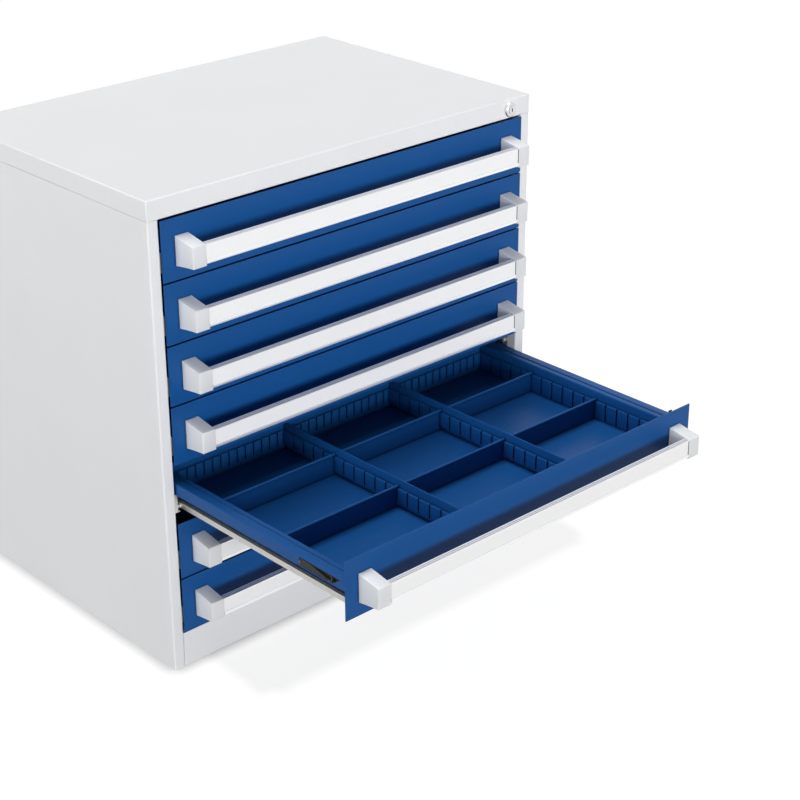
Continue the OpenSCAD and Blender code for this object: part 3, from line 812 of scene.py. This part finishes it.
def partition(bm, at):
    """One partition, upright at x = 0, with slotted cheeks on both sides."""
    tray, size = tray_sizes(), bpy.context.scene.cabinet_dividers
    origin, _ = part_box(f"drawer_{OPEN_DRAWER}_front")
    low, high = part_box(f"drawer_{OPEN_DRAWER}_partitions")
    ridge = high.z - origin.z
    start = low.y - origin.y + size.tongue
    end = high.y - origin.y - size.tongue
    half = size.plate / 2
    block(bm, (-half, start, at["floor"] + size.gap), (half, end, ridge))
    foot = at["floor"] + tray.end_foot + size.gap
    for tongue_start in (start - size.tongue, end):
        block(bm, (-half, tongue_start, foot), (half, tongue_start + size.tongue, at["ledge"]))
    edge = size.plate / 4
    soften(bm, edge, segments=2, wanted=lambda e: all(v.co.z > ridge - edge for v in e.verts))

    def cheek(cheek_bm):
        slotted_wall(cheek_bm, end - start, tray.first_slot - start, tray.side_pitch,
                     side_slots(tray), tray.side_foot, size.cheek, size.width / 2 - half)

    to_side = Matrix.Translation((size.width / 2, start, at["ledge"] - size.cheek))
    joined(bm, [placed(cheek, to_side, QUARTER_TURN), placed(cheek, FLIP_X, to_side, QUARTER_TURN)])


def curled_plate(size, low, axis_z):
    """A cross divider's sheet from the side: it rises and curls round into the rolled edge."""
    radius = (size.bead - size.sheet) / 2
    steps = 6 * sizes().bend_steps
    line = [Vector((0, low)), Vector((0, axis_z - radius))]
    for step in range(1, steps + 1):
        angle = size.curl * step / steps - math.radians(90)
        line.append(Vector((radius * math.cos(angle), axis_z + radius * math.sin(angle))))
    return sheet_outline(line, size.sheet)


def make_partitions():
    """Two equal partitions in the open drawer."""
    low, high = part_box(f"drawer_{OPEN_DRAWER}_partitions")
    half = bpy.context.scene.cabinet_dividers.width / 2
    at = tray_levels()
    one = placed(lambda bm: partition(bm, at))
    bm = bmesh.new()
    for x in (low.x + half, high.x - half):
        copy = one.copy()
        copy.transform(Matrix.Translation((x, 0, 0)))
        bm.from_mesh(copy)
    show_in_drawers(bm, "partitions", "drawer_paint", "partitions", [OPEN_DRAWER])


def make_cross_dividers():
    """Two rows of cross dividers: a plate, its tongues and its rolled edge in each bay."""
    size = bpy.context.scene.cabinet_dividers
    tray, at = tray_sizes(), tray_levels()
    origin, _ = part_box(f"drawer_{OPEN_DRAWER}_front")
    low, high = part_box(f"drawer_{OPEN_DRAWER}_dividers")
    wide_low, wide_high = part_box(f"drawer_{OPEN_DRAWER}_partitions")
    plates = [wide_low.x + size.width / 2, wide_high.x - size.width / 2]
    axis_z = high.z - origin.z - size.bead / 2
    ridge = size.plate / 2 + size.bead_gap
    both_sides = [(x, side) for x in plates for side in (-1, 1)]
    walls = [x + side * size.width / 2 for x, side in both_sides]
    walls = [-at["slotted_x"], *walls, at["slotted_x"]]
    beads = [x + side * ridge for x, side in both_sides]
    beads = [size.bead_gap - at["band_x"], *beads, at["band_x"] - size.bead_gap]
    section = curled_plate(size, axis_z - size.bead / 2 - size.sheet, axis_z)
    half = size.sheet / 2
    tongue_z = at["ledge"] - size.cheek + tray.side_foot + size.gap
    top = axis_z - size.bead / 2 - half
    bm = bmesh.new()
    for y in (low.y - origin.y + size.bead / 2, high.y - origin.y - size.bead / 2):
        for bay in range(0, len(walls), 2):
            x0, x1 = walls[bay], walls[bay + 1]
            for start, end, foot in ((x0 + size.gap, x1 - size.gap, at["floor"] + size.gap),
                                     (x0 - size.tongue, x0 + size.gap, tongue_z),
                                     (x1 - size.gap, x1 + size.tongue, tongue_z)):
                block(bm, (start, y - half, foot), (end, y + half, top))
            extrude(bm, [(y + v, z) for v, z in section], "X", beads[bay], beads[bay + 1])
    show_in_drawers(bm, "cross_dividers", "drawer_paint", "dividers", [OPEN_DRAWER])


def make_dividers():
    """The open drawer's partitions and cross dividers."""
    make_partitions()
    make_cross_dividers()


# Handles

class HandleSizes(bpy.types.PropertyGroup):
    wall: length("Wall", "Thickness of the bar's walls", 2)
    lower_lip: length("Lower lip", "Height of the bar's lip under the label", 5.3)
    upper_lip: length("Upper lip", "Height of the bar's lip over the label", 1.2)
    field: length("Label field", "Depth of the label field", 0.8)
    card: length("Label", "Thickness of the label strip", 0.4)
    foot: length("Foot", "Depth of the bar's lower flange", 5)
    grip: length("Grip", "Height of the lip behind the bar", 5)
    groove: length("Groove", "Width of the grooves along the top", 2.2)
    groove_depth: length("Groove depth", "Depth of the grooves", 1.5)
    groove_pitch: length("Groove pitch", "Between the grooves", 3.7)
    groove_count: tally("Grooves", "Number of grooves along the top", 2)
    cap: length("Cap", "Width of an end cap", 25)
    flare_low: length("Lower flare", "How far a cap's underside sinks towards the front panel", 5.9)
    flare_high: length("Upper flare", "How far a cap's top rises towards the front panel", 7.7)
    top_hollow: level("Top hollow", "How far a cap's top sags, as a share", 0.1)
    under_hollow: level("Under hollow", "How far its underside does", 0.4)
    # Painted shade: a dark strip where the label field's open end lies in shadow
    stop: length("Stop", "Width of the dark stop at the label's right end", 2.2)


def bar_section(size, front, back, low, high):
    """The bar from its end: a grooved top with a grip lip, a wall with a label field, a foot."""
    field = front + size.field
    wall = field + size.wall
    under, inside = high - size.wall, back - size.wall
    outline = [(front, low), (front + size.foot, low), (front + size.foot, low + size.wall),
               (wall, low + size.wall), (wall, under), (inside, under),
               (inside, high - size.grip), (back, high - size.grip), (back, high)]
    dip = high - size.groove_depth
    for k in range(1, size.groove_count + 1):
        middle = back - k * size.groove_pitch
        near, far = middle + size.groove / 2, middle - size.groove / 2
        outline += [(near, high), (near, dip), (far, dip), (far, high)]
    outline += [(front, high), (front, high - size.upper_lip), (field, high - size.upper_lip),
                (field, low + size.lower_lip), (front, low + size.lower_lip)]
    return outline


def cap_section(size, front, low, high):
    """A cap from its side: its top and underside sweep out in curves towards the front panel."""
    steps = 4 * sizes().bend_steps
    shares = [step / steps for step in range(steps + 1)]

    def sweep(start, flare, hollow):
        return [(front * share, start + flare * (1 - (1 - share) * (1 - hollow * share)))
                for share in shares]

    under = sweep(low, size.flare_low, size.under_hollow)
    return sweep(high, -size.flare_high, size.top_hollow) + under[::-1]


def make_handles():
    """The bars, their label strips with a dark strip of painted shade at the right end, and the end
    caps.
    """
    size = bpy.context.scene.cabinet_handles
    origin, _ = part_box("drawer_1_front")
    low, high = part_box("drawer_1_handle_caps")
    bar_low, bar_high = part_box("drawer_1_handle_bar")
    left, right = low.x + size.cap, high.x - size.cap
    front, back = bar_low.y - origin.y, bar_high.y - origin.y
    bar_z = (bar_low.z - origin.z, bar_high.z - origin.z)

    bm = bmesh.new()
    section = rounded(bar_section(size, front, back, *bar_z), sizes().bar_edge, steps=2)
    extrude(bm, section, "X", left, right)
    show_in_drawers(bm, "handle_bar", "handle_bar", "handle_bar")

    field = front + size.field
    play = size.card / 4
    strip_z = (bar_z[0] + size.lower_lip + play, bar_z[1] - size.upper_lip - play)
    # The dark strip after the label's right end is painted shade, made of the dark fittings'
    # plastic
    for name, slot, start, end, thickness in (
            ("label_strip", "label", left + play, right - size.stop, size.card),
            ("label_shade_strip", "fittings", right - size.stop, right - play, play)):
        bm = bmesh.new()
        block(bm, (start, field - thickness, strip_z[0]), (end, field, strip_z[1]))
        show_in_drawers(bm, name, slot)

    bm = bmesh.new()
    section = cap_section(size, low.y - origin.y, low.z - origin.z, high.z - origin.z)
    for start in (low.x, right):
        extrude(bm, section, "X", start, start + size.cap)
    soften(bm, sizes().cap_edge, sizes().edge_steps, lambda e: e.calc_face_angle(0) > STEEP)
    show_in_drawers(bm, "handle_caps", "handle_caps", "handle_caps")


# Slides

def make_slides():
    """The rails, rollers and fittings are the CAD's own, with their materials."""
    node_material("cabinet_rails", "galvanised")
    for number in DRAWERS:
        node_material(f"drawer_{number}_rails", "galvanised")
        node_material(f"drawer_{number}_rollers", "roller_steel")
        node_material(f"drawer_{number}_fittings", "fittings")


# Lock

class LockSizes(bpy.types.PropertyGroup):
    bore: length("Bore", "Diameter of the housing's bore", 14.6)
    face: length("Face", "Diameter of the bezel's flat face", 17)
    bezel: length("Bezel", "Diameter of the bezel", 26)
    rim: length("Rim", "Height of the bezel's edge", 1)
    barrel: length("Barrel", "Diameter of the barrel", 19)


def turned_piece(profile, centre, turns=64):
    """A closed profile of (radius, place along Y) turned about an axis along Y through centre."""
    bm = bmesh.new()
    rings = []
    for k in range(turns):
        angle = 2 * math.pi * k / turns
        out = Vector((math.cos(angle), 0, math.sin(angle)))
        rings.append([bm.verts.new(Vector((centre.x, y, centre.z)) + r * out) for r, y in profile])
    for k in range(turns):
        here, there = rings[k], rings[(k + 1) % turns]
        for step in range(len(profile)):
            after = (step + 1) % len(profile)
            bm.faces.new([here[step], here[after], there[after], there[step]])
    bmesh.ops.recalc_face_normals(bm, faces=bm.faces)
    return bm


def make_lock():
    """The lock's turned bezel with a domed rim; the plug and the bar are the CAD's own."""
    size = bpy.context.scene.cabinet_lock
    low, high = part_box("lock_housing")
    centre = (low + high) / 2
    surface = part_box("side_panel_left")[0].y
    steps = 2 * sizes().bend_steps
    face, bezel = size.face / 2, size.bezel / 2
    rim_y = surface - size.rim
    dome = []
    for step in range(steps + 1):
        angle = math.radians(90) * step / steps
        dome.append((face + (bezel - face) * math.sin(angle),
                     rim_y - (rim_y - low.y) * math.cos(angle)))
    profile = [(size.bore / 2, high.y), (size.bore / 2, low.y), *dome, (bezel, surface),
               (size.barrel / 2, surface), (size.barrel / 2, high.y)]
    mesh = as_mesh(turned_piece(profile, centre), "lock_bezel", "lock_metal")
    add_piece("lock_bezel", mesh, "cabinet", ["lock_housing"])
    node_material("lock_plug", "lock_metal")
    node_material("lock_bar", "galvanised")


# Stage

# Where the lights stand, in metres; only the way from there to AIM counts for a sun
AIM = (0, 0, 0.4)
OVERHEAD, FROM_FRONT, FROM_SIDE = (0.1, 0.95, 5.9), (-1.25, -5.9, 0.6), (-6, 0.3, 0.75)
FROM_RIGHT, FROM_BACK = (6, 0.3, -0.45), (-0.3, 6, -0.45)
OVER_FLOOR = (-0.55, -4.0, 4.65)


class StageSettings(bpy.types.PropertyGroup):
    camera_place: FloatVectorProperty(name="Camera place", description="Where the camera stands",
                                      subtype="TRANSLATION", unit="LENGTH",
                                      default=(-1.88428, -2.41075, 1.70685))
    pitch: tilt("Pitch", "Camera's tilt below the horizon", 25.37)
    heading: tilt("Heading", "Camera's turn to the right of +Y", 42.76)
    roll: tilt("Roll", "Camera's roll", -0.24)
    lens: FloatProperty(name="Lens", description="Focal length on a 36 mm sensor",
                        subtype="DISTANCE_CAMERA", default=85.11)
    floor_reach: length("Floor reach", "From the cabinet to the floor's edges", 14000)
    sky: level("Sky", "Strength of the even light from all sides", 0.15)
    top: level("Top", "Strength of the light overhead, a little behind", 2.2)
    front: level("Front", "Strength of the low light from the front", 3.7)
    side: level("Side", "Strength of the low light from the left", 2.2)
    bounce: level("Bounce", "Strength of the floor's light on the right and the back", 1.8)
    width: tilt("Width", "How wide these lights look", 32)
    shadow: level("Shadow", "Strength of the light that only the floor gets", 2.2)
    shadow_width: tilt("Shadow width", "How wide the floor's light looks", 3.5)


def floor_group(name, floor, state):
    """A collection for light linking: only the floor, or all but the floor."""
    group = bpy.data.collections.new(name)
    group.objects.link(floor)
    group.collection_objects[0].light_linking.link_state = state
    return group


def add_lamp(name, place, power, width, receivers, blockers=None, glossy=True):
    """A sun, with what it lights, what casts its shadows and whether gloss shows it."""
    lamp = bpy.data.lights.new(name, "SUN")
    lamp.energy = power
    lamp.angle = width
    item = bpy.data.objects.new(name, lamp)
    item.location = place
    item.rotation_euler = (Vector(AIM) - item.location).to_track_quat("-Z", "Y").to_euler()
    item.visible_glossy = glossy
    item.light_linking.receiver_collection = receivers
    item.light_linking.blocker_collection = blockers
    bpy.context.scene.collection.objects.link(item)


def add_lights(settings, floor):
    """Wide soft suns for the cabinet, and a narrower one for its shadow on the floor."""
    cabinet = floor_group("All but the floor", floor, "EXCLUDE")
    only_floor = floor_group("Only the floor", floor, "INCLUDE")
    width = settings.width
    add_lamp("overhead_light", OVERHEAD, settings.top, width, cabinet)
    add_lamp("front_light", FROM_FRONT, settings.front, width, cabinet)
    add_lamp("side_light", FROM_SIDE, settings.side, width, cabinet, glossy=False)
    for name, place in (("right_bounce", FROM_RIGHT), ("back_bounce", FROM_BACK)):
        add_lamp(name, place, settings.bounce, width, cabinet, blockers=cabinet, glossy=False)
    add_lamp("floor_light", OVER_FLOOR, settings.shadow, settings.shadow_width, only_floor)


def add_world(strength):
    """Even grey light for surfaces, and plain white where the camera or a mirror sees it."""
    world = bpy.data.worlds.new("Studio")
    bpy.context.scene.world = world
    world.use_nodes = True
    tree = world.node_tree
    tree.nodes.clear()
    pale = {"Color": (1, 1, 1, 1)}
    even = add_node(tree, "ShaderNodeBackground", {**pale, "Strength": strength})
    white = add_node(tree, "ShaderNodeBackground", {**pale, "Strength": 1.0})
    mixed = add_node(tree, "ShaderNodeMixShader",
                     {0: seen_share(tree), 1: even.outputs[0], 2: white.outputs[0]})
    add_node(tree, "ShaderNodeOutputWorld", {"Surface": mixed.outputs[0]})


def add_floor(reach):
    """The studio's floor, level with the cabinet's base."""
    bm = bmesh.new()
    low = cad_bounds[0].z
    corners = [(-reach, -reach), (reach, -reach), (reach, reach), (-reach, reach)]
    bm.faces.new([bm.verts.new((x, y, low)) for x, y in corners])
    floor = bpy.data.objects.new("floor", as_mesh(bm, "floor", "floor"))
    bpy.context.scene.collection.objects.link(floor)
    return floor


def add_camera(settings):
    """The camera at the photograph's viewing angle."""
    camera = bpy.data.cameras.new("Camera")
    camera.lens = settings.lens
    item = bpy.data.objects.new("Camera", camera)
    bpy.context.scene.collection.objects.link(item)
    turn = (Matrix.Rotation(-settings.heading, 4, "Z")
            @ Matrix.Rotation(math.radians(90) - settings.pitch, 4, "X")
            @ Matrix.Rotation(settings.roll, 4, "Z"))
    item.matrix_world = Matrix.Translation(settings.camera_place) @ turn
    bpy.context.scene.camera = item


def make_stage():
    """The floor, the camera and the light."""
    settings = bpy.context.scene.cabinet_stage
    floor = add_floor(settings.floor_reach)
    add_camera(settings)
    add_lights(settings, floor)
    add_world(settings.sky)
    bpy.context.scene.view_settings.view_transform = "Standard"


# Operators and panel

class CABINET_OT_stage(bpy.types.Operator):
    """Makes the floor, the camera and the studio light"""
    bl_idname = "cabinet.stage"
    bl_label = "Stage"
    bl_options = {"REGISTER", "UNDO"}

    def execute(self, context):
        make_stage()
        return {"FINISHED"}


class CABINET_OT_body(bpy.types.Operator):
    """Makes the folded and pressed body panels"""
    bl_idname = "cabinet.body"
    bl_label = "Body"
    bl_options = {"REGISTER", "UNDO"}

    def execute(self, context):
        make_body()
        return {"FINISHED"}


class CABINET_OT_fronts(bpy.types.Operator):
    """Makes the drawers' front panels"""
    bl_idname = "cabinet.fronts"
    bl_label = "Fronts"
    bl_options = {"REGISTER", "UNDO"}

    def execute(self, context):
        make_fronts()
        return {"FINISHED"}


class CABINET_OT_trays(bpy.types.Operator):
    """Makes the trays with their slotted walls"""
    bl_idname = "cabinet.trays"
    bl_label = "Trays"
    bl_options = {"REGISTER", "UNDO"}

    def execute(self, context):
        make_trays()
        return {"FINISHED"}


class CABINET_OT_dividers(bpy.types.Operator):
    """Makes the open drawer's partitions and cross dividers"""
    bl_idname = "cabinet.dividers"
    bl_label = "Dividers"
    bl_options = {"REGISTER", "UNDO"}

    def execute(self, context):
        make_dividers()
        return {"FINISHED"}


class CABINET_OT_handles(bpy.types.Operator):
    """Makes the handle bars, their labels and their caps"""
    bl_idname = "cabinet.handles"
    bl_label = "Handles"
    bl_options = {"REGISTER", "UNDO"}

    def execute(self, context):
        make_handles()
        return {"FINISHED"}


class CABINET_OT_slides(bpy.types.Operator):
    """Gives the rails, rollers and fittings their materials"""
    bl_idname = "cabinet.slides"
    bl_label = "Slides"
    bl_options = {"REGISTER", "UNDO"}

    def execute(self, context):
        make_slides()
        return {"FINISHED"}


class CABINET_OT_lock(bpy.types.Operator):
    """Makes the lock"""
    bl_idname = "cabinet.lock"
    bl_label = "Lock"
    bl_options = {"REGISTER", "UNDO"}

    def execute(self, context):
        make_lock()
        return {"FINISHED"}


OPERATORS = [CABINET_OT_stage, CABINET_OT_body, CABINET_OT_fronts, CABINET_OT_trays,
             CABINET_OT_dividers, CABINET_OT_handles, CABINET_OT_slides, CABINET_OT_lock]


class CABINET_PT_panel(bpy.types.Panel):
    """Lists the cabinet's operators"""
    bl_label = "Drawer cabinet"
    bl_idname = "CABINET_PT_panel"
    bl_space_type = "VIEW_3D"
    bl_region_type = "UI"
    bl_category = "Cabinet"

    def draw(self, context):
        for cls in OPERATORS:
            self.layout.operator(cls.bl_idname)


SETTINGS = {"cabinet_finish": CabinetFinish, "cabinet_sheet": SheetSizes,
            "cabinet_tray": TraySizes, "cabinet_dividers": DividerSizes,
            "cabinet_handles": HandleSizes, "cabinet_lock": LockSizes,
            "cabinet_stage": StageSettings}
CLASSES = [*SETTINGS.values(), *OPERATORS, CABINET_PT_panel]


def register():
    """Registers the classes and hangs the settings on the scene."""
    for cls in CLASSES:
        bpy.utils.register_class(cls)
    for name, cls in SETTINGS.items():
        setattr(bpy.types.Scene, name, PointerProperty(type=cls))


def unregister():
    """Undoes register()."""
    for name in SETTINGS:
        delattr(bpy.types.Scene, name)
    for cls in reversed(CLASSES):
        bpy.utils.unregister_class(cls)


def corners(box):
    """A box's two corners as plain lists of numbers."""
    return [list(corner) for corner in box]


def main():
    """Makes everything."""
    register()
    for cls in OPERATORS:
        getattr(bpy.ops.cabinet, cls.bl_idname.split(".")[1])()


if __name__ == "__main__":
    main()
